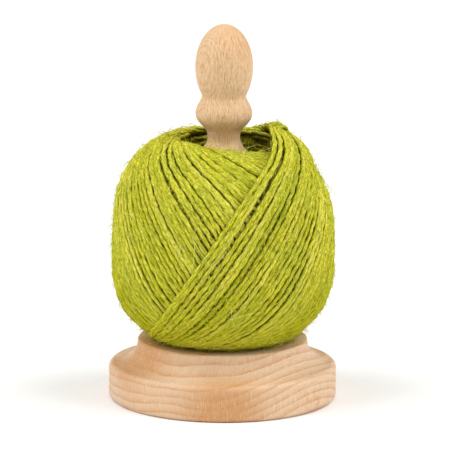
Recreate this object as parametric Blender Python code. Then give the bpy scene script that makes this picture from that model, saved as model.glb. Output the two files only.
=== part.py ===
"""A ball of jute twine on a turned beech stand.

The stand is a round moulded base with a post glued into it. The post carries a neck, a bead and an
egg-shaped grip. The ball of twine sits on the base with the post through its hole. The model stands
on z = 0 with its axis on Z, and the camera side is -Y.
"""

import math

import bpy

MM = 0.001

# Base, in millimetres: a disc whose cove rises from a lip to the platform under the twine
BASE_RADIUS = 57.0
BASE_SIDE_TOP = 17.9
BASE_FOOT_ROUND = 2.2
LIP_ROUND = 2.6
LIP_END = 102.0
PLATFORM_RADIUS = 42.6
PLATFORM_HEIGHT = 30.1
PLATFORM_ROUND = 1.2

# Post
SHAFT_RADIUS = 13.0
TENON_RADIUS = 9.0
TENON_LENGTH = 17.0
EGG_RADIUS = 14.35
EGG_MIDDLE = 166.8
EGG_HALF_HEIGHT = 21.0
EGG_LOWER_STRETCH = 1.05
POST_SECTIONS = (
    # height, radius
    (153.3, 11.35),
    (151.7, 11.05),
    (149.6, 11.95),
    (147.0, 13.3),
    (144.1, 14.1),
    (141.0, 13.6),
    (138.3, 11.7),
    (135.4, 9.0),
    (132.2, 8.1),
    (129.2, 8.45),
    (126.4, 10.1),
    (124.2, 12.0),
    (121.6, 13.2),
    (118.6, 13.5),
    (115.4, 13.0),
)

# Twine ball: the outline of its newest turns, and the circle round the hole that they all touch
BALL_RADIUS = 56.3
BALL_MIDDLE = 82.6
BALL_RISE = 59.2
BALL_DROP = 56.6
RISE_POWER = 2.44
DROP_POWER = 3.36
TURN_TILT = math.radians(34.0)
HOLE_RADIUS = 16.6
HOLE_TOP = 117.5
HOLE_FOOT = 42.0

# Twine ball: the winding, whose newest turn touches the top of the ball at this angle from +X
NEWEST_TURN = math.radians(-2.0)
TURN_THICKNESS = 2.1
FOOT_SQUEEZE = 0.75
BUNDLES = 18
BUNDLE_HEIGHT = 1.2
STEPS_PER_BUNDLE = 4
EDGE_COLUMNS = 1.25
CRATER_ROWS = 4
FUNNEL_POWER = 1.25
HOLE_ROWS = 3

# Gap between pieces that rest on or in each other, and the facets round each turned piece
GAP = 0.3
BASE_SIDES = 72
POST_SIDES = 40


def clear_scene():
    for obj in list(bpy.data.objects):
        bpy.data.objects.remove(obj)


def material(name, colour, roughness):
    made = bpy.data.materials.new(name)
    made.use_nodes = True
    shader = made.node_tree.nodes["Principled BSDF"]
    shader.inputs["Base Color"].default_value = (*colour, 1.0)
    shader.inputs["Roughness"].default_value = roughness
    shader.inputs["Metallic"].default_value = 0.0
    return made


def arc(middle, radii, start, end, steps):
    """Points (radius, height) on an ellipse, from one angle to another in degrees."""
    found = []
    for i in range(steps + 1):
        angle = math.radians(start + (end - start) * i / steps)
        found.append((middle[0] + radii[0] * math.cos(angle), middle[1] + radii[1] * math.sin(angle)))
    return found


def smooth_through(sections, steps):
    """Points on a Catmull-Rom curve through the sections, from the first to the last."""
    rows = [sections[0], *sections, sections[-1]]
    found = []
    for before, start, end, after in zip(rows, rows[1:], rows[2:], rows[3:]):
        for i in range(steps):
            t = i / steps
            found.append(
                tuple(
                    0.5
                    * (
                        2 * start[k]
                        + (end[k] - before[k]) * t
                        + (2 * before[k] - 5 * start[k] + 4 * end[k] - after[k]) * t**2
                        + (3 * start[k] - before[k] - 3 * end[k] + after[k]) * t**3
                    )
                    for k in (0, 1)
                )
            )
    found.append(sections[-1])
    return found


def mesh_object(name, points, faces, finish):
    mesh = bpy.data.meshes.new(name)
    mesh.from_pydata([(x * MM, y * MM, z * MM) for x, y, z in points], [], faces)
    mesh.materials.append(finish)
    mesh.shade_smooth()
    mesh.set_sharp_from_angle(angle=math.radians(40))
    obj = bpy.data.objects.new(name, mesh)
    bpy.context.scene.collection.objects.link(obj)
    return obj


def turned(name, profile, sides, finish):
    """A solid of revolution. The profile runs from the foot of the axis out, up and back to the axis."""
    points = [(0.0, 0.0, profile[0][1]), (0.0, 0.0, profile[-1][1])]
    rings = []
    for radius, height in profile[1:-1]:
        ring = []
        for i in range(sides):
            angle = 2 * math.pi * i / sides
            ring.append(len(points))
            points.append((radius * math.cos(angle), radius * math.sin(angle), height))
        rings.append(ring)
    faces = []
    for i in range(sides):
        after = (i + 1) % sides
        faces.append((0, rings[0][after], rings[0][i]))
        faces.append((1, rings[-1][i], rings[-1][after]))
        for low, high in zip(rings, rings[1:]):
            faces.append((low[i], low[after], high[after], high[i]))
    return mesh_object(name, points, faces, finish)


def base_profile():
    foot = (BASE_RADIUS - BASE_FOOT_ROUND, BASE_FOOT_ROUND)
    lip = arc((BASE_RADIUS - LIP_ROUND, BASE_SIDE_TOP - LIP_ROUND), (LIP_ROUND, LIP_ROUND), 0, LIP_END, 4)
    rim = (PLATFORM_RADIUS - PLATFORM_ROUND, PLATFORM_HEIGHT - PLATFORM_ROUND)
    cove_foot, cove_floor = lip[-1]
    cove_size = (cove_foot - PLATFORM_RADIUS, rim[1] - cove_floor)
    return [
        (0.0, 0.0),
        *arc(foot, (BASE_FOOT_ROUND, BASE_FOOT_ROUND), -90, 0, 3),
        *lip,
        *arc((cove_foot, rim[1]), cove_size, 270, 180, 6)[1:],
        *arc(rim, (PLATFORM_ROUND, PLATFORM_ROUND), 0, 90, 2)[1:],
        (TENON_RADIUS + GAP, PLATFORM_HEIGHT),
        (TENON_RADIUS + GAP, PLATFORM_HEIGHT - TENON_LENGTH - GAP),
        (0.0, PLATFORM_HEIGHT - TENON_LENGTH - GAP),
    ]


def post_profile():
    tenon_foot = PLATFORM_HEIGHT - TENON_LENGTH
    turned_part = [(radius, height) for height, radius in smooth_through(POST_SECTIONS[::-1], 2)]
    waist = math.degrees(math.asin((POST_SECTIONS[0][0] - EGG_MIDDLE) / (EGG_HALF_HEIGHT * EGG_LOWER_STRETCH)))
    egg = (0.0, EGG_MIDDLE)
    return [
        (0.0, tenon_foot),
        (TENON_RADIUS, tenon_foot),
        (TENON_RADIUS, PLATFORM_HEIGHT + GAP),
        (SHAFT_RADIUS, PLATFORM_HEIGHT + GAP),
        *turned_part[:-1],
        *arc(egg, (EGG_RADIUS, EGG_HALF_HEIGHT * EGG_LOWER_STRETCH), waist, 0, 5),
        *arc(egg, (EGG_RADIUS, EGG_HALF_HEIGHT), 0, 90, 8)[1:],
    ]


def ball_outline(polar):
    """(radius, height) on the ball's outline in the direction at this angle from the axis."""
    up = math.cos(polar)
    reach, power = (BALL_RISE, RISE_POWER) if up >= 0 else (BALL_DROP, DROP_POWER)
    out = (math.sin(polar) ** power + abs(up) ** power) ** (-1 / power)
    return BALL_RADIUS * math.sin(polar) * out, BALL_MIDDLE + reach * up * out


def outward(polar):
    """The outline's unit normal (radial, upward) at that angle."""
    step = 0.001
    r0, z0 = ball_outline(polar - step)
    r1, z1 = ball_outline(polar + step)
    length = math.hypot(r1 - r0, z1 - z0)
    return (z0 - z1) / length, (r1 - r0) / length


def turn_ages(angle, swing):
    """Ages of the two turns that cross at this angle, one leaning right and one leaning left.

    Each touches the top of the ball `swing` away from the angle, to one side or the other. The age is
    the angle by which its top lies after the newest turn's. The nudge keeps points off that turn.
    """
    nudge = 1e-4
    since = angle - NEWEST_TURN + nudge
    return (since + swing) % (2 * math.pi), (since - swing) % (2 * math.pi)


def winding_depth(angle, swing):
    """How far the surface lies below the newest turn's outline.

    The newer of the two turns that cross here lies on top. A full round of turns adds two
    thicknesses. Bundles of neighbouring turns stand up as ridges that run along them. The ball's
    own weight squeezes both at its foot.
    """
    age = min(turn_ages(angle, swing))
    valley = 0.5 - 0.5 * math.cos(BUNDLES * age)
    squeeze = 1 - FOOT_SQUEEZE * max(0.0, -math.cos(swing))
    return squeeze * (TURN_THICKNESS * age / math.pi + BUNDLE_HEIGHT * valley)


def outer_ring(swing, columns):
    """Points (radius, angle, height) round the ball, all `swing` away from the tops of their turns."""
    polar = math.atan2(math.tan(TURN_TILT), math.cos(swing))
    radius, height = ball_outline(polar)
    out, up = outward(polar)
    ring = []
    for column in range(columns):
        angle = NEWEST_TURN + 2 * math.pi * column / columns
        depth = winding_depth(angle, swing)
        ring.append((radius - depth * out, angle, max(height - depth * up, PLATFORM_HEIGHT + GAP)))
    return ring


def funnel(ring, hole_height):
    """Rings that run from a ring at the ball's top or bottom in to its hole."""
    rings = []
    for row in range(1, CRATER_ROWS):
        share = row / CRATER_ROWS
        fall = share**FUNNEL_POWER
        rings.append([(r + (HOLE_RADIUS - r) * share, a, z + (hole_height - z) * fall) for r, a, z in ring])
    return rings


def ball_rings(rows, columns):
    """Rings of points: down the outside, in under the ball, up its hole and out over the crater."""
    rings = [outer_ring(math.pi * row / rows, columns) for row in range(rows + 1)]
    crest, foot = rings[0], rings[-1]
    hole = []
    for row in range(HOLE_ROWS + 1):
        height = HOLE_FOOT + (HOLE_TOP - HOLE_FOOT) * row / HOLE_ROWS
        hole.append([(HOLE_RADIUS, angle, height) for _, angle, _ in crest])
    return [*rings, *funnel(foot, HOLE_FOOT), *hole, *reversed(funnel(crest, HOLE_TOP))]


def leans_right(row, column, rows, columns):
    """Whether the turn that shows in this cell leans right, so that the cell is split along it.

    Cells just behind the newest turn follow that one, so that its edge is a clean step.
    """
    swing = math.pi * min(row + 0.5, rows) / rows
    ages = turn_ages(NEWEST_TURN + 2 * math.pi * (column + 0.5 + EDGE_COLUMNS) / columns, swing)
    return ages[0] < ages[1]


def twine_ball(finish):
    columns = BUNDLES * STEPS_PER_BUNDLE
    rows = columns // 2
    rings = ball_rings(rows, columns)
    points = [(r * math.cos(a), r * math.sin(a), z) for ring in rings for r, a, z in ring]
    faces = []
    for row in range(len(rings)):
        below = (row + 1) % len(rings)
        for column in range(columns):
            after = (column + 1) % columns
            a, b = row * columns + column, row * columns + after
            c, d = below * columns + after, below * columns + column
            if leans_right(row, column, rows, columns):
                faces.extend([(a, d, b), (b, d, c)])
            else:
                faces.extend([(a, d, c), (a, c, b)])
    return mesh_object("twine_ball", points, faces, finish)


def main():
    clear_scene()
    beech = material("beech", (0.74, 0.50, 0.28), 0.5)
    jute = material("jute", (0.50, 0.48, 0.04), 0.95)
    turned("base", base_profile(), BASE_SIDES, beech)
    turned("post", post_profile(), POST_SIDES, beech)
    twine_ball(jute)


main()
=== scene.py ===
"""The looks of a ball of jute twine on a turned beech stand.

The ball is modelled as what it is: one two-ply cord wound in tilted turns round the post. Each turn
lies a little deeper than the one wound after it. Arcs of still older turns line the crater at the
top, a core painted dark as the shade between the turns shows between them, and loose fibres stand
out of the cord. The stand is turned again from the CAD profiles, with finer facets. Lengths are in
millimetres until a mesh is made, apart from the camera's, which are in metres. Angles are in
radians where nothing else is said.
"""

import math

import bpy
import numpy as np
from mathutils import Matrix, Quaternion, Vector


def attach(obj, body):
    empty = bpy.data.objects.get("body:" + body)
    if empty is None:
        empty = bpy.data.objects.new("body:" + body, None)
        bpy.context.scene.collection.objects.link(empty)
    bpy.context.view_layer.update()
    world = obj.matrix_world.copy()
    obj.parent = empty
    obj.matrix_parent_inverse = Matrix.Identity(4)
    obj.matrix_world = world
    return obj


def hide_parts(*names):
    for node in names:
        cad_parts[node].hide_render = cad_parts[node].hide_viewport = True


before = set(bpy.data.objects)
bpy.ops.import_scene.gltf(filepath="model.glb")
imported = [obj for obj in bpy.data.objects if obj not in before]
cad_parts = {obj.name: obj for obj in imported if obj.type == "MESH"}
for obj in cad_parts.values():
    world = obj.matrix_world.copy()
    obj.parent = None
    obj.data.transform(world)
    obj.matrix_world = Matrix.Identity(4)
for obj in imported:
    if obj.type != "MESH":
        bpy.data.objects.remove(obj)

MM = 0.001
FULL_TURN = 2 * math.pi
UP = (0.0, 0.0, 1.0)
RANDOM_SEED = 7

# Base, as in part.py
BASE_RADIUS = 57.0
BASE_SIDE_TOP = 17.9
BASE_FOOT_ROUND = 2.2
LIP_ROUND = 2.6
LIP_END = 102.0
PLATFORM_RADIUS = 42.6
PLATFORM_HEIGHT = 30.1
PLATFORM_ROUND = 1.2

# Post, as in part.py
SHAFT_RADIUS = 13.0
TENON_RADIUS = 9.0
TENON_LENGTH = 17.0
EGG_RADIUS = 14.35
EGG_MIDDLE = 166.8
EGG_HALF_HEIGHT = 21.0
EGG_LOWER_STRETCH = 1.05
POST_SECTIONS = (
    # height, radius
    (153.3, 11.35),
    (151.7, 11.05),
    (149.6, 11.95),
    (147.0, 13.3),
    (144.1, 14.1),
    (141.0, 13.6),
    (138.3, 11.7),
    (135.4, 9.0),
    (132.2, 8.1),
    (129.2, 8.45),
    (126.4, 10.1),
    (124.2, 12.0),
    (121.6, 13.2),
    (118.6, 13.5),
    (115.4, 13.0),
)
GAP = 0.3
TURNED_SIDES = 180
SHARP_EDGE = math.radians(40)

# Outline of the twine ball, as in part.py
BALL_RADIUS = 56.3
BALL_MIDDLE = 82.6
BALL_RISE = 59.2
BALL_DROP = 56.6
RISE_POWER = 2.44
DROP_POWER = 3.36
TURN_TILT = math.radians(34.0)
HOLE_RADIUS = 16.6
HOLE_TOP = 117.5
HOLE_FOOT = 42.0
TURN_THICKNESS = 2.1
FOOT_SQUEEZE = 0.75
FUNNEL_POWER = 1.25
NORMAL_STEP = 0.002

# The top of the newest turn lies 6 degrees clockwise of the CAD's, as seen from above
NEWEST_TURN = math.radians(-8.0)

# The turns bend in to a narrower opening than the CAD outline has
BEND_START = math.radians(50.0)
BEND_IN = math.radians(8.0)

# The foot of the ball is rounder than the CAD outline: it is lifted, and moved in by a share of that
FOOT_START = math.radians(105.0)
FOOT_END = math.radians(140.0)
FOOT_LIFT = 1.9
FOOT_IN_SHARE = 0.6

# The rim of the opening is one turn of a spiral: near their tops the turns sink with age
RIM_SINKS = (
    # age in degrees, fall of the rim
    (0, 1.6),
    (20, 2.7),
    (34, 4.2),
    (48, 5.2),
    (90, 5.0),
    (130, 4.4),
    (182, 5.2),
    (230, 5.8),
    (270, 7.4),
    (300, 8.8),
    (335, 10.8),
    (360, 12.0),
)
SINK_SWING = math.radians(105.0)

# Uneven places of the ball, which stand out or in
SWELLS = (
    # (age, swing, reach in age, reach in swing) in degrees, height
    ((42, -31, 52, 31), 3.0),
    ((0, 15, 75, 110), 1.3),
    ((70, -65, 42, 25), -2.2),
    ((134, -128, 40, 30), -1.0),
)

# Cord: two plies twisted round each other
PLY_RADIUS = 1.0
PLY_OFFSET = 0.36
CORD_RADIUS = PLY_RADIUS + PLY_OFFSET
CORD_LAY = 16.0
LAY_DRIFT = 2.6
LAY_DRIFT_SPACING = 45.0
OFFSET_SPREAD = 0.28
OFFSET_SPACING = 17.0
PLY_SIDES = 6
PLY_LUMPS = (
    # share of the radius, spacing along the ply
    (0.14, 11.0),
    (0.07, 3.0),
)
PLY_ROUGHNESS = 0.05
CORD_MARGIN = -0.35

# The streaks of the second ply are those this far along the first, so that the two differ
PLY_STREAKS_APART = 1000

# Newest round of turns, in four lengths that follow each other
TURNS = 112
LENGTHS = 4
STEPS_PER_TURN = 205
SPACING_SPREAD = 0.4
FIRST_SPACINGS = (0.85, 0.75, 1.5, 0.8, 1.35, 0.75, 0.95, 1.45, 0.8, 0.85, 1.3, 0.9)
TILT_SPREAD = math.radians(1.3)
TILT_TURNS = 0.55
WAVE_SPREAD = 0.007
WAVE_TURNS = 0.07
DEPTH_SPREAD = 0.5
DEPTH_TURNS = 0.13
TONE_WAVES = (
    # share, spacing in turns
    (0.6, 1.0),
    (0.4, 0.21),
)
LIFT_FADE = math.radians(25)
LIFT_SHARE = 0.5
TUCK_TURNS = 0.06
TUCK_DEPTH = 3.0

# Crater: arcs of older turns between the crest and the hole
CRATER_LAYERS = 5
ARCS_PER_LAYER = 22
ARC_HALF = math.radians(30)
ARC_STEPS = 34
ARC_TILT_SPREAD = math.radians(2.0)
ARC_AGE_SPREAD = 0.4
ARC_FIRST_LAYER = 0.7
ARC_LAYER_SPREAD = 0.3
ARC_RIM_GAP = 1.6
ARC_LEVEL = math.radians(16)
ARC_TUCK = 2.6
# Painted shade of the crater arcs: up to this share, the further in they lie
ARC_SHADE = 0.75
ARC_CELLS_ACROSS = 6

# Core under the turns
CORE_DEPTH = 2.7
CORE_ROWS = 60
CORE_COLUMNS = 144
CORE_FUNNEL_ROWS = 8
CORE_HOLE_GAP = 0.6

# Loose fibres. The shape of their lengths is that of a beta distribution, with most of them short.
FIBRES = 6000
FIBRE_STEPS = 5
FIBRE_SIDES = 3
FIBRE_RADIUS = 0.09
FIBRE_SHORTEST = 2.5
FIBRE_LONGEST = 10.0
FIBRE_LENGTH_SHAPE = (1.3, 3.2)
FIBRE_LEAN = 0.9
FIBRE_REACH = 0.7
FIBRE_SIDE_SPREAD = 0.45
FIBRE_CURL = 0.33
FIBRE_CURL_IN = 0.25
FIBRE_TWIST = 0.22
FIBRE_WIDTHS = (0.7, 1.3)
FIBRE_TIP = 0.4
FIBRE_TONE = 0.4
FIBRE_TONE_SPREAD = 0.5
FIBRE_CELLS_ACROSS = 10

# Strays: the longest and palest fibres, which lie closer to the ball
STRAYS = 110
STRAY_LONGEST = 16.0
STRAY_WIDTH = 1.7
STRAY_REACH = 0.45
STRAY_TONE = 2.0

# Share of each cell of the texture layout that is left empty along its borders
CELL_PAD = 0.04

# Ways of the grain of the wood, as compass angles in degrees
BASE_GRAIN = -115.0
BASE_ACROSS = -35.0
POST_ACROSS = -49.0
POST_RADIAL = -139.0

# Rings, grain, clouds and patches of both woods. Scales are noise cells a millimetre.
RING_DRIFT_SCALE = (0.008, 0.03, 0.05)
RING_DRIFT = 0.35
RING_UNEVEN_SCALE = (0.02, 0.12, 0.12)
RING_FADE = 2.4
RING_EDGE = 0.93
GRAIN_SCALE = (0.3, 4.0, 4.0)
CLOUD_SCALE = 0.035
CLOUD_SHARE = 0.22
PATCH_HEART = 0.2

# Looks of the wood. Lengths are in millimetres, and scales are noise cells a millimetre.
BASE_LOOK = {
    "slope": 0.03,
    "bow": 0.015,
    "bend_from": 25.0,
    "first_line": 10.8,
    "spacing": 4.4,
    "round": False,
    "ray_scale": (0.3, 3.2, 0.2),
    "end_share": 0.35,
    "ring_share": 0.95,
    "fleck_share": 0.34,
    "fibre_share": 0.35,
    "warm_tint_and_painted_shade_patches": (((0.0, -57.0, 4.0), 30.0, 1.0), ((-41.0, -20.0, 25.0), 31.0, 1.0)),
    # A paler tint on the left of the side
    "paler_tint_and_painted_light_patches": (((-54.0, -20.0, 4.0), 17.0, 0.8),),
    "pale": (0.75, 0.55, 0.38, 1.0),
    "bright": (0.85, 0.66, 0.48, 1.0),
    "warm_tint_and_painted_shade": (0.585, 0.30, 0.12, 1.0),
    "paler_tint_and_painted_light": (0.70, 0.56, 0.43, 1.0),
    "late": (0.55, 0.245, 0.075, 1.0),
    "end": (0.68, 0.42, 0.23, 1.0),
}
POST_LOOK = {
    "slope": 0.0,
    "bow": 0.0,
    "bend_from": 0.0,
    "first_line": 14.0,
    "spacing": 1.05,
    "round": True,
    "ray_scale": (0.34, 2.6, 0.05),
    "end_share": 0.3,
    "ring_share": 0.6,
    "fleck_share": 0.8,
    "fibre_share": 0.25,
    # A warm tint on the knob, and painted shade on the neck under the bead
    "warm_tint_and_painted_shade_patches": (((9.0, -9.0, 182.0), 16.0, 0.55), ((0.0, -12.0, 135.0), 9.0, 0.5)),
    # Painted light on the neck and flare, which lie in the crater's shade
    "paler_tint_and_painted_light_patches": (((0.0, 0.0, 119.0), 30.0, 1.0),),
    "pale": (0.71, 0.50, 0.29, 1.0),
    "bright": (0.82, 0.59, 0.37, 1.0),
    "warm_tint_and_painted_shade": (0.66, 0.37, 0.16, 1.0),
    "paler_tint_and_painted_light": (0.97, 0.66, 0.37, 1.0),
    "late": (0.50, 0.20, 0.045, 1.0),
    "end": (0.70, 0.43, 0.21, 1.0),
}

# Colours of the cord: two that its streaks run between, and layers from the first to the last. Only
# strays have a tone over 1.
JUTE_STREAKS = ((0.36, 0.38, 0.003, 1.0), (0.82, 0.77, 0.035, 1.0))
JUTE_LAYERS = (
    # what it follows, where it starts, where it is full, share, colour
    ("tone", -0.1, 0.8, 0.65, (0.91, 0.85, 0.125, 1.0)),
    ("tone", -0.1, -0.8, 0.6, (0.31, 0.35, 0.003, 1.0)),
    ("dye", 0.45, 0.65, 0.45, (0.36, 0.45, 0.02, 1.0)),
    ("fine", 0.5, 0.38, 0.65, (0.12, 0.13, 0.001, 1.0)),
    ("fine", 0.52, 0.64, 0.6, (0.95, 0.88, 0.21, 1.0)),
    ("stains", 0.68, 0.74, 0.5, (0.30, 0.50, 0.13, 1.0)),
    ("stains", 0.3, 0.25, 0.6, (0.62, 0.36, 0.02, 1.0)),
    ("speckle", 0.56, 0.7, 0.4, (0.88, 0.84, 0.14, 1.0)),
    ("speckle", 0.44, 0.3, 0.4, (0.17, 0.18, 0.001, 1.0)),
    # painted shade, darker towards the bottom of the ball
    ("level", 85.0, 30.0, 0.5, (0.36, 0.35, 0.0, 1.0)),
    ("tone", 1.2, 1.8, 0.75, (0.95, 0.88, 0.30, 1.0)),
    # painted shade, dark where the cord is less open to the light: in its grooves and down in the crater
    ("open", 0.78, 0.3, 0.95, (0.05, 0.05, 0.0005, 1.0)),
)
JUTE_STREAK_SCALE = (0.16, 1.3, 1.0)
JUTE_FINE_SCALE = (0.5, 4.0, 1.0)
JUTE_SLANT = 0.3
JUTE_STRAND_STEP = 9.0
DYE_SCALE = 0.06
STAIN_SCALE = 0.33
SPECKLE_SCALE = 1.5

# Colours of the core, from its gaps to its turns, both darker than the cord as painted shade
CORE_DARK = (0.05, 0.05, 0.001, 1.0)
CORE_PALE = (0.34, 0.34, 0.006, 1.0)
CORE_STRIPES = 0.45
CORE_MAT_SCALE = 0.9
CORE_DRIFT_SCALE = 0.05

# Floor
FLOOR_TONE = 0.91
FLOOR_HALF = 20000.0
FLOOR_LEVEL = -0.05

# Light: the world's glow, and soft suns. Their angles are in degrees.
WORLD_STRENGTH = 0.51
SUNS = (
    # name, compass angle, height, spread, strength
    ("left", -167.0, 47.0, 50.0, 1.54),
    ("right", -10.0, 47.0, 50.0, 1.54),
    ("top", -80.0, 75.0, 60.0, 0.50),
)

# Camera, fitted to the base and the post in the photograph, with its places in metres
LENS = 245.2
SENSOR = 36.0
CAMERA_PLACE = Vector((0.00085, -1.5, 0.3754))
CAMERA_AIM = Vector((0.00085, 0.0, 0.0871))
CAMERA_ROLL = math.radians(0.33)
CAMERA_NEAR = 0.01
CAMERA_FAR = 100.0


def link(name, data):
    obj = bpy.data.objects.new(name, data)
    bpy.context.scene.collection.objects.link(obj)
    return obj


def mesh_object(name, points, face_groups, material):
    """A mesh from points in millimetres and groups of faces, each with its own number of corners."""
    mesh = bpy.data.meshes.new(name)
    corners = np.concatenate([group.ravel() for group in face_groups])
    sizes = np.concatenate([np.full(len(group), group.shape[1]) for group in face_groups])
    mesh.vertices.add(len(points))
    mesh.vertices.foreach_set("co", (points * MM).astype(np.float32).ravel())
    mesh.loops.add(len(corners))
    mesh.loops.foreach_set("vertex_index", corners.astype(np.int32))
    mesh.polygons.add(len(sizes))
    starts = np.concatenate([[0], np.cumsum(sizes)[:-1]])
    mesh.polygons.foreach_set("loop_start", starts.astype(np.int32))
    mesh.update(calc_edges=True)
    mesh.validate()
    mesh.shade_smooth()
    mesh.materials.append(material)
    return link(name, mesh)


def fit_out(piece, node):
    """Puts a piece on the one body, in place of a CAD node."""
    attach(piece, "root")
    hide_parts(node)


def ramp(value):
    """0 below 0 and 1 above 1, with a smooth rise between them."""
    share = np.clip(value, 0.0, 1.0)
    return share * share * (3 - 2 * share)


def wander(rng, places, spacing):
    """Smooth random values from -1 to 1 along a line, whose knots lie spacing apart."""
    scaled = places / spacing
    before = np.floor(scaled).astype(int)
    knots = rng.uniform(-1, 1, before.max() + 2)
    share = ramp(scaled - before)
    return knots[before] + (knots[before + 1] - knots[before]) * share


# Turned wood


def arc(middle, radii, start, end, steps):
    """Points (radius, height) on an ellipse, from one angle to another in degrees."""
    angles = np.radians(np.linspace(start, end, steps + 1))
    return list(zip(middle[0] + radii[0] * np.cos(angles), middle[1] + radii[1] * np.sin(angles)))


def smooth_through(sections, steps):
    """Points on a Catmull-Rom curve through the sections, from the first to the last."""
    rows = np.array([sections[0], *sections, sections[-1]])
    found = []
    for before, start, end, after in zip(rows, rows[1:], rows[2:], rows[3:]):
        for t in np.arange(steps) / steps:
            bend = (2 * before - 5 * start + 4 * end - after) * t**2
            turn = (3 * start - before - 3 * end + after) * t**3
            found.append(tuple(0.5 * (2 * start + (end - before) * t + bend + turn)))
    return [*found, sections[-1]]


def base_profile():
    foot = (BASE_RADIUS - BASE_FOOT_ROUND, BASE_FOOT_ROUND)
    lip_middle = (BASE_RADIUS - LIP_ROUND, BASE_SIDE_TOP - LIP_ROUND)
    lip = arc(lip_middle, (LIP_ROUND, LIP_ROUND), 0, LIP_END, 12)
    rim = (PLATFORM_RADIUS - PLATFORM_ROUND, PLATFORM_HEIGHT - PLATFORM_ROUND)
    cove_foot, cove_floor = lip[-1]
    cove_size = (cove_foot - PLATFORM_RADIUS, rim[1] - cove_floor)
    return [
        (0.0, 0.0),
        *arc(foot, (BASE_FOOT_ROUND, BASE_FOOT_ROUND), -90, 0, 8),
        *lip,
        *arc((cove_foot, rim[1]), cove_size, 270, 180, 20)[1:],
        *arc(rim, (PLATFORM_ROUND, PLATFORM_ROUND), 0, 90, 6)[1:],
        (TENON_RADIUS + GAP, PLATFORM_HEIGHT),
        (TENON_RADIUS + GAP, PLATFORM_HEIGHT - TENON_LENGTH - GAP),
        (0.0, PLATFORM_HEIGHT - TENON_LENGTH - GAP),
    ]


def post_profile():
    tenon_foot = PLATFORM_HEIGHT - TENON_LENGTH
    turned_part = [(radius, height) for height, radius in smooth_through(POST_SECTIONS[::-1], 6)]
    egg = (0.0, EGG_MIDDLE)
    lower_half = EGG_HALF_HEIGHT * EGG_LOWER_STRETCH
    waist = math.degrees(math.asin((POST_SECTIONS[0][0] - EGG_MIDDLE) / lower_half))
    return [
        (0.0, tenon_foot),
        (TENON_RADIUS, tenon_foot),
        (TENON_RADIUS, PLATFORM_HEIGHT + GAP),
        (SHAFT_RADIUS, PLATFORM_HEIGHT + GAP),
        *turned_part[:-1],
        *arc(egg, (EGG_RADIUS, lower_half), waist, 0, 14),
        *arc(egg, (EGG_RADIUS, EGG_HALF_HEIGHT), 0, 90, 24)[1:],
    ]


def turned(name, profile, material):
    """A solid of revolution. Its profile runs from the foot of the axis out, up and back to it."""
    rings = np.array(profile[1:-1])
    angles = np.linspace(0, FULL_TURN, TURNED_SIDES, endpoint=False)
    x = rings[:, :1] * np.cos(angles)
    y = rings[:, :1] * np.sin(angles)
    z = np.broadcast_to(rings[:, 1:], x.shape)
    index = np.arange(x.size).reshape(x.shape)
    after = np.roll(index, -1, axis=1)
    foot, top = x.size, x.size + 1
    ends = [(0, 0, profile[0][1]), (0, 0, profile[-1][1])]
    points = np.concatenate([np.stack([x, y, z], axis=-1).reshape(-1, 3), ends])
    walls = np.stack([index[:-1], after[:-1], after[1:], index[1:]], axis=-1).reshape(-1, 4)
    under = np.stack([np.full(TURNED_SIDES, foot), after[0], index[0]], axis=-1)
    over = np.stack([np.full(TURNED_SIDES, top), index[-1], after[-1]], axis=-1)
    made = mesh_object(name, points, [walls, under, over], material)
    made.data.set_sharp_from_angle(angle=SHARP_EDGE)
    return made


# Winding


def outline(polar):
    """(radius, height) of the ball's outline at these angles from the axis."""
    bend = np.clip((BEND_START - polar) / (BEND_START - TURN_TILT), 0, None)
    bent = polar - BEND_IN * bend**2
    up, side = np.cos(bent), np.sin(bent)
    power = np.where(up >= 0, RISE_POWER, DROP_POWER)
    reach = np.where(up >= 0, BALL_RISE, BALL_DROP)
    out = (side**power + np.abs(up) ** power) ** (-1 / power)
    lift = FOOT_LIFT * ramp((polar - FOOT_START) / (FOOT_END - FOOT_START))
    radius = BALL_RADIUS * side * out - FOOT_IN_SHARE * lift
    return radius, BALL_MIDDLE + reach * up * out + lift


def on_ball(azimuth, polar, depth, inward=0.0, down=0.0):
    """(points, outward unit normals) this deep under the ball's outline, and moved inward and down."""
    radius, height = outline(polar)
    before, after = outline(polar - NORMAL_STEP), outline(polar + NORMAL_STEP)
    normal = unit(np.stack([before[1] - after[1], after[0] - before[0]], axis=-1))
    radius = radius - depth * normal[..., 0] - inward
    height = height - depth * normal[..., 1] - down
    points = np.stack([radius * np.cos(azimuth), radius * np.sin(azimuth), height], axis=-1)
    facing = [normal[..., 0] * np.cos(azimuth), normal[..., 0] * np.sin(azimuth), normal[..., 1]]
    return points, np.stack(np.broadcast_arrays(*facing), axis=-1)


def sink(age, from_top):
    """How much lower than elsewhere the turns lie near their tops."""
    ages, falls = np.transpose(RIM_SINKS)
    return np.interp(np.degrees(age), ages, falls) * (1 - ramp(from_top / SINK_SWING))


def swell(age, swing):
    """How far the ball's uneven places stand out at these points of its turns."""
    found = np.zeros(np.broadcast(age, swing).shape)
    for (middle_age, middle_swing, age_reach, swing_reach), size in SWELLS:
        age_share = 1 - np.abs(np.degrees(age) - middle_age) / age_reach
        swing_share = 1 - np.abs(np.degrees(swing) - middle_swing) / swing_reach
        found = found + size * ramp(age_share) * ramp(swing_share)
    return found


def turn_places(time, tilt):
    """(swing, polar) of points on turns with this tilt. Time runs from -pi to pi, with 0 at the top.

    The swing is the angle round the axis from the turn's top, and the polar angle is from the axis.
    """
    swing = np.arctan2(np.sin(time), np.sin(tilt) * np.cos(time))
    return swing, np.arccos(np.cos(tilt) * np.cos(time))


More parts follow.
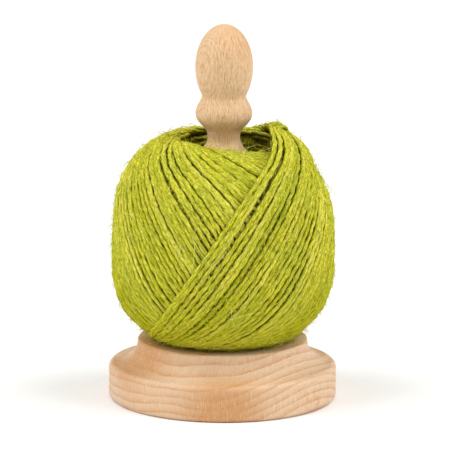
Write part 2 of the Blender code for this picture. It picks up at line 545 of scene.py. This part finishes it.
def cord_depth(age, swing):
    """How far the cord lies below the outline, for a turn of this age in radians.

    A full round of turns adds two thicknesses. Where two turns of nearly one age cross, the newer
    is lifted and the older is pushed down until they clear each other. The ball's own weight
    squeezes the layers at its foot.
    """
    from_top = np.abs(swing)
    newer_by = np.where(swing > 0, from_top, math.pi - from_top)
    older_by = math.pi - newer_by
    squeeze = 1 - FOOT_SQUEEZE * np.maximum(0.0, -np.cos(swing))
    depth = squeeze * TURN_THICKNESS * age / math.pi
    for share, apart in ((-LIFT_SHARE, newer_by), (1 - LIFT_SHARE, older_by)):
        missing = np.maximum(0.0, TURN_THICKNESS * (1 - 2 * apart / math.pi))
        depth = depth + share * ramp(apart / LIFT_FADE) * missing
    return depth + CORD_RADIUS + CORD_MARGIN - swell(age, swing)


def newest_round(rng):
    """(centres, normals, tone, on top) along the newest round of turns, from its newest end."""
    spacings = 1 + SPACING_SPREAD * wander(rng, np.arange(TURNS) + 0.5, 1.0)
    spacings[: len(FIRST_SPACINGS)] = FIRST_SPACINGS
    ages = FULL_TURN * np.concatenate([[0], np.cumsum(spacings)]) / spacings.sum()
    turn = np.arange(TURNS * STEPS_PER_TURN + 1) / STEPS_PER_TURN
    age = np.interp(turn, np.arange(TURNS + 1), ages)
    time = FULL_TURN * (turn % 1.0) - math.pi
    tilt = TURN_TILT + TILT_SPREAD * wander(rng, turn, TILT_TURNS)
    swing, polar = turn_places(time, tilt)
    azimuth = NEWEST_TURN + age + swing + WAVE_SPREAD * wander(rng, turn, WAVE_TURNS)
    depth = cord_depth(age, swing) + DEPTH_SPREAD * wander(rng, turn, DEPTH_TURNS)
    from_end = np.minimum(turn, TURNS - turn)
    depth = depth + TUCK_DEPTH * (1 - ramp(from_end / TUCK_TURNS))
    centres, normals = on_ball(azimuth, polar, depth, down=sink(age, np.abs(swing)))
    centres[:, 2] = np.maximum(centres[:, 2], PLATFORM_HEIGHT + GAP + CORD_RADIUS)
    tone = sum(share * wander(rng, turn, spacing) for share, spacing in TONE_WAVES)
    other_age = (age + 2 * swing) % FULL_TURN
    return centres, normals, tone, age <= other_age


def crater_arcs(rng):
    """(centres, normals, tone, share of the way in) of the arcs, with one row for each arc."""
    count = CRATER_LAYERS * ARCS_PER_LAYER
    layer = np.repeat(np.arange(CRATER_LAYERS), ARCS_PER_LAYER)[:, None]
    place = np.arange(count) % ARCS_PER_LAYER + rng.uniform(-ARC_AGE_SPREAD, ARC_AGE_SPREAD, count)
    age = (FULL_TURN * place / ARCS_PER_LAYER % FULL_TURN)[:, None]
    tilt = TURN_TILT + rng.uniform(-ARC_TILT_SPREAD, ARC_TILT_SPREAD, (count, 1))
    time = np.linspace(-ARC_HALF, ARC_HALF, ARC_STEPS + 1)[None, :]
    swing, polar = turn_places(time, tilt)
    azimuth = NEWEST_TURN + age + swing
    spread_in = rng.uniform(-ARC_LAYER_SPREAD, ARC_LAYER_SPREAD, (count, 1))
    share = (layer + ARC_FIRST_LAYER + spread_in) / CRATER_LAYERS
    plain_depth = TURN_THICKNESS * age / math.pi + CORD_RADIUS + CORD_MARGIN
    rim, _ = on_ball(0.0, TURN_TILT, plain_depth)
    inward = (rim[..., 0] - HOLE_RADIUS - ARC_RIM_GAP) * share
    drop = rim[..., 2] - sink(age, 0.0) - HOLE_TOP
    down = sink(age, np.abs(swing)) + drop * share**FUNNEL_POWER
    tuck = ARC_TUCK * ramp((np.abs(time) - ARC_LEVEL) / (ARC_HALF - ARC_LEVEL))
    centres, normals = on_ball(azimuth, polar, plain_depth + tuck, inward, down)
    tone = np.broadcast_to(rng.uniform(-1, 1, (count, 1)), polar.shape)
    return centres, normals, tone, np.broadcast_to(share, polar.shape)


# Tubes


def unit(vectors):
    return vectors / np.linalg.norm(vectors, axis=-1, keepdims=True)


def path_frames(centres, normals):
    """(normal, sideways) unit vectors across each path, the normal as near as can be to the one given."""
    along = unit(np.gradient(centres, axis=1))
    sideways = unit(np.cross(along, normals))
    return np.cross(sideways, along), sideways


def path_lengths(centres):
    steps = np.linalg.norm(np.diff(centres, axis=1), axis=-1)
    return np.concatenate([np.zeros((len(centres), 1)), np.cumsum(steps, axis=1)], axis=1)


def cell_corners(count, steps, sides, cell_steps, across):
    """Texture places of the corners of every side face. Each run of cell_steps has its own cell."""
    cells_each = -(-steps // cell_steps)
    rows = -(-count * cells_each // across)
    step = np.arange(steps)
    cell = np.arange(count)[:, None] * cells_each + step // cell_steps
    inside = 1 - 2 * CELL_PAD
    ends = (step % cell_steps + np.array([[0], [1]])) / cell_steps
    u = ((cell % across)[None] + CELL_PAD + inside * ends[:, None]) / across
    rounds = CELL_PAD + inside * np.arange(sides + 1) / sides
    v = ((cell // across)[..., None] + rounds) / rows
    corners = np.empty((count, steps, sides, 4, 2))
    for corner, (end, side) in enumerate(((0, 0), (0, 1), (1, 1), (1, 0))):
        corners[..., corner, 0] = u[end][..., None]
        corners[..., corner, 1] = v[..., side : side + sides]
    return corners


def tubes(name, material, centres, normals, radii, sides, layout, attributes):
    """One mesh of many closed tubes. Centres has a row for each tube, and radii fit the rings' points.

    Layout is (steps of a texture cell, cells across). Attributes are named arrays that fit the
    centres, or the points of the rings as well.
    """
    count, rings, _ = centres.shape
    normal, sideways = path_frames(centres, normals)
    angles = math.pi + FULL_TURN * np.arange(sides) / sides
    ring = np.cos(angles)[:, None] * normal[:, :, None] + np.sin(angles)[:, None] * sideways[:, :, None]
    points = centres[:, :, None] + radii[..., None] * ring
    index = np.arange(count * rings * sides).reshape(count, rings, sides)
    after = np.roll(index, -1, axis=2)
    walls = np.stack([index[:, :-1], after[:, :-1], after[:, 1:], index[:, 1:]], axis=-1)
    starts = index[:, 0, ::-1]
    ends = index[:, -1]
    made = mesh_object(name, points.reshape(-1, 3), [walls.reshape(-1, 4), starts, ends], material)
    corners = cell_corners(count, rings - 1, sides, *layout)
    caps = [np.repeat(corners[:, place, :1, 0], sides, axis=1).reshape(-1, 2) for place in (0, -1)]
    texture_places = np.concatenate([corners.reshape(-1, 2), *caps])
    layer = made.data.uv_layers.new(name="OFBake")
    layer.data.foreach_set("uv", texture_places.astype(np.float32).ravel())
    for label, values in attributes.items():
        kind, field = ("FLOAT_VECTOR", "vector") if values.shape[-1] == 3 else ("FLOAT", "value")
        slot = made.data.attributes.new(label, kind, "POINT")
        slot.data.foreach_set(field, values.astype(np.float32).ravel())
    return made


def cord(name, material, rng, centres, normals, tone, shade, lay_start, layout):
    """The two plies of one or more lengths of cord, with a row of centres for each length."""
    normal, sideways = path_frames(centres, normals)
    length = path_lengths(centres) + lay_start
    from_start = length - length.min()
    drift = LAY_DRIFT * wander(rng, from_start, LAY_DRIFT_SPACING)
    offset = PLY_OFFSET * (1 + OFFSET_SPREAD * wander(rng, from_start, OFFSET_SPACING))
    plies, radii, along = [], [], []
    for ply in (0, 1):
        phase = FULL_TURN * length / CORD_LAY + drift + math.pi * ply
        across = np.cos(phase)[..., None] * normal + np.sin(phase)[..., None] * sideways
        plies.append(centres + offset[..., None] * across)
        lumps = sum(share * wander(rng, from_start, spacing) for share, spacing in PLY_LUMPS)
        radii.append(PLY_RADIUS * (1 + lumps))
        along.append(length + PLY_STREAKS_APART * ply)
    plies, along = np.concatenate(plies), np.concatenate(along)
    rough = 1 + PLY_ROUGHNESS * rng.normal(0, 1, (*along.shape, PLY_SIDES))
    radii = np.concatenate(radii)[..., None] * rough
    tone = np.concatenate([tone, tone])
    normal = np.concatenate([normal, normal])
    middles = np.concatenate([centres, centres])
    angles = math.pi + FULL_TURN * np.arange(PLY_SIDES) / PLY_SIDES
    height = np.sum((plies - middles) * normal, axis=-1)[..., None] + radii * np.cos(angles)
    fibre = np.stack(
        [
            np.broadcast_to(along[..., None], height.shape),
            np.broadcast_to(PLY_RADIUS * angles, height.shape),
            np.broadcast_to(tone[..., None], height.shape),
        ],
        axis=-1,
    )
    # Open is 1 on the outside of the cord, and less in its grooves and down in the crater, where the
    # jute's colour is painted darker as shade
    lit = 1 - np.concatenate([shade, shade])[..., None]
    openness = (0.5 + 0.5 * height / CORD_RADIUS) * lit
    shared = {"fibre": fibre, "open": openness[..., None]}
    normals = np.concatenate([normals, normals])
    return tubes(name, material, plies, normals, radii, PLY_SIDES, layout, shared)


# Core and loose fibres


def core_rings():
    """(rings of points, ages of the turns over them) of the core.

    The rings run down the outside, in under the ball and up its hole to the crater.
    """
    columns = np.arange(CORE_COLUMNS)
    azimuth = NEWEST_TURN + FULL_TURN * columns / CORE_COLUMNS
    rings, ages = [], []
    since = FULL_TURN * columns / CORE_COLUMNS
    for swing in np.linspace(0, math.pi, CORE_ROWS + 1):
        polar = np.full(CORE_COLUMNS, math.atan2(math.tan(TURN_TILT), math.cos(swing)))
        rising, falling = (since + swing) % FULL_TURN, (since - swing) % FULL_TURN
        age = np.minimum(rising, falling)
        squeeze = 1 - FOOT_SQUEEZE * max(0.0, -math.cos(swing))
        upward = np.where(rising <= falling, -swing, swing)
        depth = squeeze * TURN_THICKNESS * age / math.pi + CORE_DEPTH - swell(age, upward)
        ring, _ = on_ball(azimuth, polar, depth, down=sink(age, swing))
        ring[:, 2] = np.maximum(ring[:, 2], PLATFORM_HEIGHT + GAP)
        rings.append(ring)
        ages.append(age)
    radius = HOLE_RADIUS + CORE_HOLE_GAP
    around = np.stack([radius * np.cos(azimuth), radius * np.sin(azimuth)], axis=-1)
    hole = []
    for height in (HOLE_FOOT, HOLE_TOP - CORE_DEPTH):
        hole.append(np.column_stack([around, np.full(CORE_COLUMNS, height)]))
    down = []
    for share in np.arange(1, CORE_FUNNEL_ROWS) / CORE_FUNNEL_ROWS:
        flat = rings[0] + (hole[1] - rings[0]) * share
        flat[:, 2] = rings[0][:, 2] + (hole[1][:, 2] - rings[0][:, 2]) * share**FUNNEL_POWER
        down.append(flat)
    ages += [ages[0]] * (len(hole) + len(down))
    return np.array([*rings, *hole, *reversed(down)]), np.array(ages)


def core(material):
    """A closed body under the turns, painted dark as the shade between them. It carries the way across
    them, for its stripes.
    """
    rings, ages = core_rings()
    index = np.arange(len(rings) * CORE_COLUMNS).reshape(len(rings), CORE_COLUMNS)
    below = np.roll(index, -1, axis=0)
    faces = np.stack([index, below, np.roll(below, -1, axis=1), np.roll(index, -1, axis=1)], axis=-1)
    made = mesh_object("twine_core", rings.reshape(-1, 3), [faces.reshape(-1, 4)], material)
    across = made.data.attributes.new("across", "FLOAT", "POINT")
    across.data.foreach_set("value", (BALL_RADIUS * ages).astype(np.float32).ravel())
    return made


def loose_fibres(rng, material, centres, normals, tone):
    """Short curled fibres that start at these points of the cord. The first of them are the strays."""
    picked = rng.integers(1, len(centres) - 1, FIBRES)
    start, normal = centres[picked], normals[picked]
    along = unit(centres[picked + 1] - centres[picked - 1])
    sideways = np.cross(along, normal)
    lean = rng.uniform(-FIBRE_LEAN, FIBRE_LEAN, (FIBRES, 1))
    start = start + CORD_RADIUS * (np.sqrt(1 - lean**2) * normal + lean * sideways)
    onward = along * rng.choice([-1, 1], (FIBRES, 1))
    aside = sideways * rng.normal(0, FIBRE_SIDE_SPREAD, (FIBRES, 1))
    reach = np.abs(rng.normal(0, FIBRE_REACH, (FIBRES, 1)))
    reach[:STRAYS] *= STRAY_REACH
    heading = unit(onward + aside + reach * normal)
    share_of_range = rng.beta(*FIBRE_LENGTH_SHAPE, (FIBRES, 1))
    length = FIBRE_SHORTEST + (FIBRE_LONGEST - FIBRE_SHORTEST) * share_of_range
    length[:STRAYS] = rng.uniform(FIBRE_LONGEST, STRAY_LONGEST, (STRAYS, 1))
    curl = rng.normal(0, FIBRE_CURL, (FIBRES, 3)) - FIBRE_CURL_IN * normal
    twist = rng.normal(0, FIBRE_TWIST, (FIBRES, 3))
    share = np.linspace(0, 1, FIBRE_STEPS + 1)[None, :, None]
    bend = heading[:, None] * share + curl[:, None] * share**2 + twist[:, None] * share**3
    paths = start[:, None] + length[:, None] * bend
    taper = np.linspace(1, FIBRE_TIP, FIBRE_STEPS + 1)
    radii = FIBRE_RADIUS * rng.uniform(*FIBRE_WIDTHS, (FIBRES, 1)) * taper
    radii[:STRAYS] *= STRAY_WIDTH
    facing = np.broadcast_to(normal[:, None], paths.shape)
    shape = (FIBRES, FIBRE_STEPS + 1, FIBRE_SIDES)
    own_tone = np.clip(tone[picked] + rng.normal(FIBRE_TONE, FIBRE_TONE_SPREAD, FIBRES), -1, 1)
    own_tone[:STRAYS] = STRAY_TONE
    fibre = np.stack(
        [
            np.broadcast_to((length * share[..., 0])[..., None], shape),
            np.zeros(shape),
            np.broadcast_to(own_tone[:, None, None], shape),
        ],
        axis=-1,
    )
    shared = {"fibre": fibre, "open": np.full((*shape, 1), 1.0)}
    layout = (FIBRE_STEPS, FIBRE_CELLS_ACROSS)
    radii = radii[..., None]
    return tubes("loose_fibres", material, paths, facing, radii, FIBRE_SIDES, layout, shared)


# Materials


def node(tree, kind, inputs=(), **settings):
    """A new node. Its inputs are values or other nodes' outputs, by name or by place."""
    made = tree.nodes.new(kind)
    for name, value in settings.items():
        setattr(made, name, value)
    for key, value in dict(inputs).items():
        if isinstance(value, bpy.types.NodeSocket):
            tree.links.new(value, made.inputs[key])
        else:
            made.inputs[key].default_value = value
    return made


def calc(tree, operation, *values):
    return node(tree, "ShaderNodeMath", dict(enumerate(values)), operation=operation).outputs[0]


def spread(tree, value, low, high, new_low=0.0, new_high=1.0, smooth=False):
    """Maps low..high to new_low..new_high, and stops at both ends."""
    inputs = {"Value": value, "From Min": low, "From Max": high, "To Min": new_low, "To Max": new_high}
    kind = "SMOOTHSTEP" if smooth else "LINEAR"
    return node(tree, "ShaderNodeMapRange", inputs, interpolation_type=kind, clamp=True).outputs[0]


def blend(tree, share, first, second):
    """The first colour at share 0 and the second at 1."""
    inputs = {0: share, 6: first, 7: second}
    return node(tree, "ShaderNodeMix", inputs, data_type="RGBA").outputs[2]


def noise(tree, vector, detail=2.0, roughness=0.5):
    inputs = {"Vector": vector, "Scale": 1.0, "Detail": detail, "Roughness": roughness}
    return node(tree, "ShaderNodeTexNoise", inputs).outputs["Fac"]


def vector_of(tree, x, y, z):
    return node(tree, "ShaderNodeCombineXYZ", {0: x, 1: y, 2: z}).outputs[0]


def scaled(tree, vector, factor):
    inputs = {0: vector, "Scale": factor}
    return node(tree, "ShaderNodeVectorMath", inputs, operation="SCALE").outputs[0]


def dot(tree, vector, direction):
    inputs = {0: vector, 1: direction}
    return node(tree, "ShaderNodeVectorMath", inputs, operation="DOT_PRODUCT").outputs["Value"]


def place_in_mm(tree):
    return scaled(tree, node(tree, "ShaderNodeTexCoord").outputs["Object"], 1 / MM)


def new_material(name):
    made = bpy.data.materials.new(name)
    made.use_nodes = True
    return made, made.node_tree, made.node_tree.nodes["Principled BSDF"]


def compass(degrees):
    """The level unit vector at this angle from the X axis."""
    return (math.cos(math.radians(degrees)), math.sin(math.radians(degrees)), 0.0)


def stretched(tree, parts, factors, **kind):
    """Noise over three lengths, each first multiplied by its factor."""
    lengths = [calc(tree, "MULTIPLY", part, factor) for part, factor in zip(parts, factors)]
    return noise(tree, vector_of(tree, *lengths), **kind)


def patched(tree, place, colour, tint, patches):
    """Blends in another tint round some points, each with its reach and share."""
    for middle, reach, share in patches:
        apart = node(tree, "ShaderNodeVectorMath", {0: place, 1: middle}, operation="DISTANCE")
        near = spread(tree, apart.outputs["Value"], reach, PATCH_HEART * reach, 0.0, share, smooth=True)
        colour = blend(tree, near, colour, tint)
    return colour


def round_parts(tree, place):
    """Height, way round the axis and way out from it, in millimetres, for a slim turned piece."""
    x, y, z = node(tree, "ShaderNodeSeparateXYZ", {0: place}).outputs
    angle = calc(tree, "ARCTAN2", x, calc(tree, "MULTIPLY", y, -1.0))
    across = node(tree, "ShaderNodeVectorMath", {0: vector_of(tree, x, y, 0.0)}, operation="LENGTH")
    return [z, calc(tree, "MULTIPLY", angle, SHAFT_RADIUS), across.outputs["Value"]]


def growth_rings(tree, parts, look):
    """How dark the rings are, from 0 to 1: each darkens downward to the sharp edge of its late wood."""
    _, across, radial = parts
    drift = stretched(tree, parts, RING_DRIFT_SCALE)
    past_bend = calc(tree, "MAXIMUM", calc(tree, "SUBTRACT", across, look["bend_from"]), 0.0)
    bowed = calc(tree, "MULTIPLY", calc(tree, "POWER", past_bend, 2.0), look["bow"])
    sheet = calc(tree, "SUBTRACT", radial, calc(tree, "MULTIPLY", across, look["slope"]))
    sheet = calc(tree, "SUBTRACT", sheet, bowed)
    wave = RING_DRIFT * look["spacing"]
    sheet = calc(tree, "ADD", sheet, spread(tree, drift, 0.3, 0.7, -wave, wave))
    below = calc(tree, "SUBTRACT", look["first_line"], sheet)
    ring = calc(tree, "FRACT", calc(tree, "DIVIDE", below, look["spacing"]))
    edge = spread(tree, ring, 1.0, RING_EDGE, smooth=True)
    uneven = spread(tree, stretched(tree, parts, RING_UNEVEN_SCALE), 0.3, 0.65, 0.5, 1.0)
    darkening = calc(tree, "MULTIPLY", calc(tree, "POWER", ring, RING_FADE), edge)
    return calc(tree, "MULTIPLY", darkening, uneven)


def beech(name, grain, across, radial, look):
    """Beech with its grain, the direction across it and the way to the bark as unit vectors.

    Growth rings are sheets that lie nearly at right angles to the last. They slope, and bow past
    a bend. Rays are thin flecks that stand along the grain, and end grain is darker.
    """
    made, tree, shader = new_material(name)
    place = place_in_mm(tree)
    parts = [dot(tree, place, direction) for direction in (grain, across, radial)]
    rings = growth_rings(tree, parts, look)
    fleck_parts = round_parts(tree, place) if look["round"] else parts
    rays = stretched(tree, fleck_parts, look["ray_scale"], detail=2.0, roughness=0.6)
    fibres = stretched(tree, fleck_parts, GRAIN_SCALE, detail=3.0, roughness=0.6)
    cloud = noise(tree, scaled(tree, place, CLOUD_SCALE), detail=2.0)
    facing = node(tree, "ShaderNodeNewGeometry").outputs["Normal"]
    end_grain = calc(tree, "POWER", dot(tree, facing, grain), 2.0)
    end_share = calc(tree, "MULTIPLY", end_grain, look["end_share"])
    colour = blend(tree, end_share, look["pale"], look["end"])
    colour = blend(tree, spread(tree, cloud, 0.35, 0.65, 0.0, CLOUD_SHARE), colour, look["end"])
    # Warm tints, and on the post's neck painted shade under the bead
    colour = patched(tree, place, colour, look["warm_tint_and_painted_shade"], look["warm_tint_and_painted_shade_patches"])
    # Paler tints, and on the post painted light on the shaded neck and flare
    colour = patched(tree, place, colour, look["paler_tint_and_painted_light"], look["paler_tint_and_painted_light_patches"])
    colour = blend(tree, calc(tree, "MULTIPLY", rings, look["ring_share"]), colour, look["late"])
    flecks = spread(tree, rays, 0.57, 0.68, 0.0, look["fleck_share"], smooth=True)
    colour = blend(tree, flecks, colour, look["late"])
    pale_flecks = spread(tree, rays, 0.46, 0.36, 0.0, look["fleck_share"], smooth=True)
    colour = blend(tree, pale_flecks, colour, look["bright"])
    dark_fibres = spread(tree, fibres, 0.53, 0.66, 0.0, look["fibre_share"])
    colour = blend(tree, dark_fibres, colour, look["late"])
    pale_fibres = spread(tree, fibres, 0.47, 0.34, 0.0, look["fibre_share"])
    colour = blend(tree, pale_fibres, colour, look["bright"])
    tree.links.new(colour, shader.inputs["Base Color"])
    shader.inputs["Specular IOR Level"].default_value = 0.3
    tree.links.new(spread(tree, fibres, 0.3, 0.7, 0.48, 0.6), shader.inputs["Roughness"])
    relief = calc(tree, "ADD", fibres, rays)
    bump = node(tree, "ShaderNodeBump", {"Height": relief, "Strength": 0.15, "Distance": 0.0002})
    tree.links.new(bump.outputs[0], shader.inputs["Normal"])
    return made


def jute():
    """Dyed jute: fine streaks along each ply, uneven dye, and painted shade in the grooves, in the crater
    and low on the ball.
    """
    made, tree, shader = new_material("jute_twine")
    fibre = node(tree, "ShaderNodeAttribute", attribute_name="fibre").outputs["Vector"]
    along, around, tone = node(tree, "ShaderNodeSeparateXYZ", {0: fibre}).outputs
    place = place_in_mm(tree)
    slant = calc(tree, "ADD", around, calc(tree, "MULTIPLY", along, JUTE_SLANT))
    strand = (along, slant, calc(tree, "MULTIPLY", tone, JUTE_STRAND_STEP))
    coarse = stretched(tree, strand, JUTE_STREAK_SCALE, detail=3.0, roughness=0.65)
    fine = stretched(tree, strand, JUTE_FINE_SCALE, detail=2.0)
    followed = {
        "tone": tone,
        "fine": fine,
        "dye": noise(tree, scaled(tree, place, DYE_SCALE), detail=3.0),
        "stains": noise(tree, scaled(tree, place, STAIN_SCALE), detail=2.0),
        "speckle": noise(tree, scaled(tree, place, SPECKLE_SCALE), detail=2.0, roughness=0.7),
        # Height, for painted shade towards the bottom of the ball
        "level": node(tree, "ShaderNodeSeparateXYZ", {0: place}).outputs[2],
        # Openness to the light, for painted shade in the grooves and the crater
        "open": node(tree, "ShaderNodeAttribute", attribute_name="open").outputs["Fac"],
    }
    colour = blend(tree, spread(tree, coarse, 0.4, 0.6), *JUTE_STREAKS)
    for name, starts, full, share, tint in JUTE_LAYERS:
        gentle = name == "level"
        shown = spread(tree, followed[name], starts, full, 0.0, share, smooth=gentle)
        colour = blend(tree, shown, colour, tint)
    tree.links.new(colour, shader.inputs["Base Color"])
    shader.inputs["Roughness"].default_value = 0.85
    shader.inputs["Specular IOR Level"].default_value = 0.0
    streaks = calc(tree, "ADD", coarse, fine)
    bump = node(tree, "ShaderNodeBump", {"Height": streaks, "Strength": 0.6, "Distance": 0.0003})
    tree.links.new(bump.outputs[0], shader.inputs["Normal"])
    return made


def shaded_jute():
    """The core between the turns: the same fibre, matted, and painted dark as the shade between the
    turns.
    """
    made, tree, shader = new_material("jute_core")
    across = node(tree, "ShaderNodeAttribute", attribute_name="across").outputs["Fac"]
    place = place_in_mm(tree)
    matted = noise(tree, scaled(tree, place, CORE_MAT_SCALE), detail=4.0, roughness=0.7)
    sideways = vector_of(tree, calc(tree, "MULTIPLY", across, CORE_STRIPES), 0.0, 0.0)
    inputs = {0: scaled(tree, place, CORE_DRIFT_SCALE), 1: sideways}
    joined = node(tree, "ShaderNodeVectorMath", inputs, operation="ADD").outputs[0]
    mat = calc(tree, "MULTIPLY", matted, noise(tree, joined, detail=2.0))
    colour = blend(tree, spread(tree, mat, 0.18, 0.34), CORE_DARK, CORE_PALE)
    tree.links.new(colour, shader.inputs["Base Color"])
    shader.inputs["Roughness"].default_value = 0.95
    bump = node(tree, "ShaderNodeBump", {"Height": mat, "Strength": 1.0, "Distance": 0.001})
    tree.links.new(bump.outputs[0], shader.inputs["Normal"])
    return made


# Stage


def floor():
    made, _, shader = new_material("pale_floor")
    shader.inputs["Base Color"].default_value = (FLOOR_TONE, FLOOR_TONE, FLOOR_TONE, 1.0)
    shader.inputs["Roughness"].default_value = 1.0
    shader.inputs["Specular IOR Level"].default_value = 0.0
    signs = ((-1, -1), (1, -1), (1, 1), (-1, 1))
    corners = np.array([(x * FLOOR_HALF, y * FLOOR_HALF, FLOOR_LEVEL) for x, y in signs])
    mesh_object("floor", corners, [np.array([[0, 1, 2, 3]])], made)


def sun(name, azimuth, elevation, spread_angle, strength):
    """A soft distant light that shines from this compass angle and height, in degrees."""
    data = bpy.data.lights.new(name, "SUN")
    data.angle = math.radians(spread_angle)
    data.energy = strength
    light = link(name, data)
    side = math.cos(math.radians(elevation))
    away = Vector(compass(azimuth)) * side + Vector((0, 0, math.sin(math.radians(elevation))))
    light.rotation_mode = "QUATERNION"
    light.rotation_quaternion = (-away).to_track_quat("-Z", "Y")


def lights():
    world = bpy.data.worlds.new("studio")
    world.use_nodes = True
    background = world.node_tree.nodes["Background"]
    background.inputs["Color"].default_value = (1.0, 1.0, 1.0, 1.0)
    background.inputs["Strength"].default_value = WORLD_STRENGTH
    bpy.context.scene.world = world
    bpy.context.scene.view_settings.view_transform = "Standard"
    for settings in SUNS:
        sun(*settings)


def camera():
    data = bpy.data.cameras.new("camera")
    data.lens = LENS
    data.sensor_width = SENSOR
    data.clip_start = CAMERA_NEAR
    data.clip_end = CAMERA_FAR
    made = link("camera", data)
    made.location = CAMERA_PLACE
    made.rotation_mode = "QUATERNION"
    aim = (CAMERA_AIM - CAMERA_PLACE).to_track_quat("-Z", "Y")
    made.rotation_quaternion = aim @ Quaternion((0, 0, 1), CAMERA_ROLL)
    bpy.context.scene.camera = made


# Pieces


def stand():
    base_wood = beech("beech_base", compass(BASE_GRAIN), compass(BASE_ACROSS), UP, BASE_LOOK)
    post_wood = beech("beech_post", UP, compass(POST_ACROSS), compass(POST_RADIAL), POST_LOOK)
    fit_out(turned("base_wood", base_profile(), base_wood), "base")
    fit_out(turned("post_wood", post_profile(), post_wood), "post")


def twine():
    rng = np.random.default_rng(RANDOM_SEED)
    material = jute()
    centres, normals, tone, on_top = newest_round(rng)
    length = path_lengths(centres[None])[0]
    steps = TURNS * STEPS_PER_TURN // LENGTHS
    for number in range(LENGTHS):
        part = slice(number * steps, (number + 1) * steps + 1)
        made = cord(
            f"twine_length_{number + 1}",
            material,
            rng,
            centres[None, part],
            normals[None, part],
            tone[None, part],
            np.zeros((1, steps + 1)),
            length[number * steps],
            (STEPS_PER_TURN, 1),
        )
        fit_out(made, "twine_ball")
    arcs, arc_normals, arc_tone, way_in = crater_arcs(rng)
    # Painted shade, deeper the further in the arcs lie
    shade = ARC_SHADE * way_in
    layout = (ARC_STEPS, ARC_CELLS_ACROSS)
    made = cord("twine_crater", material, rng, arcs, arc_normals, arc_tone, shade, 0.0, layout)
    fit_out(made, "twine_ball")
    fit_out(core(shaded_jute()), "twine_ball")
    fibres = loose_fibres(rng, material, centres[on_top], normals[on_top], tone[on_top])
    fit_out(fibres, "twine_ball")


def main():
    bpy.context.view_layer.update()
    camera()
    lights()
    floor()
    stand()
    twine()


main()
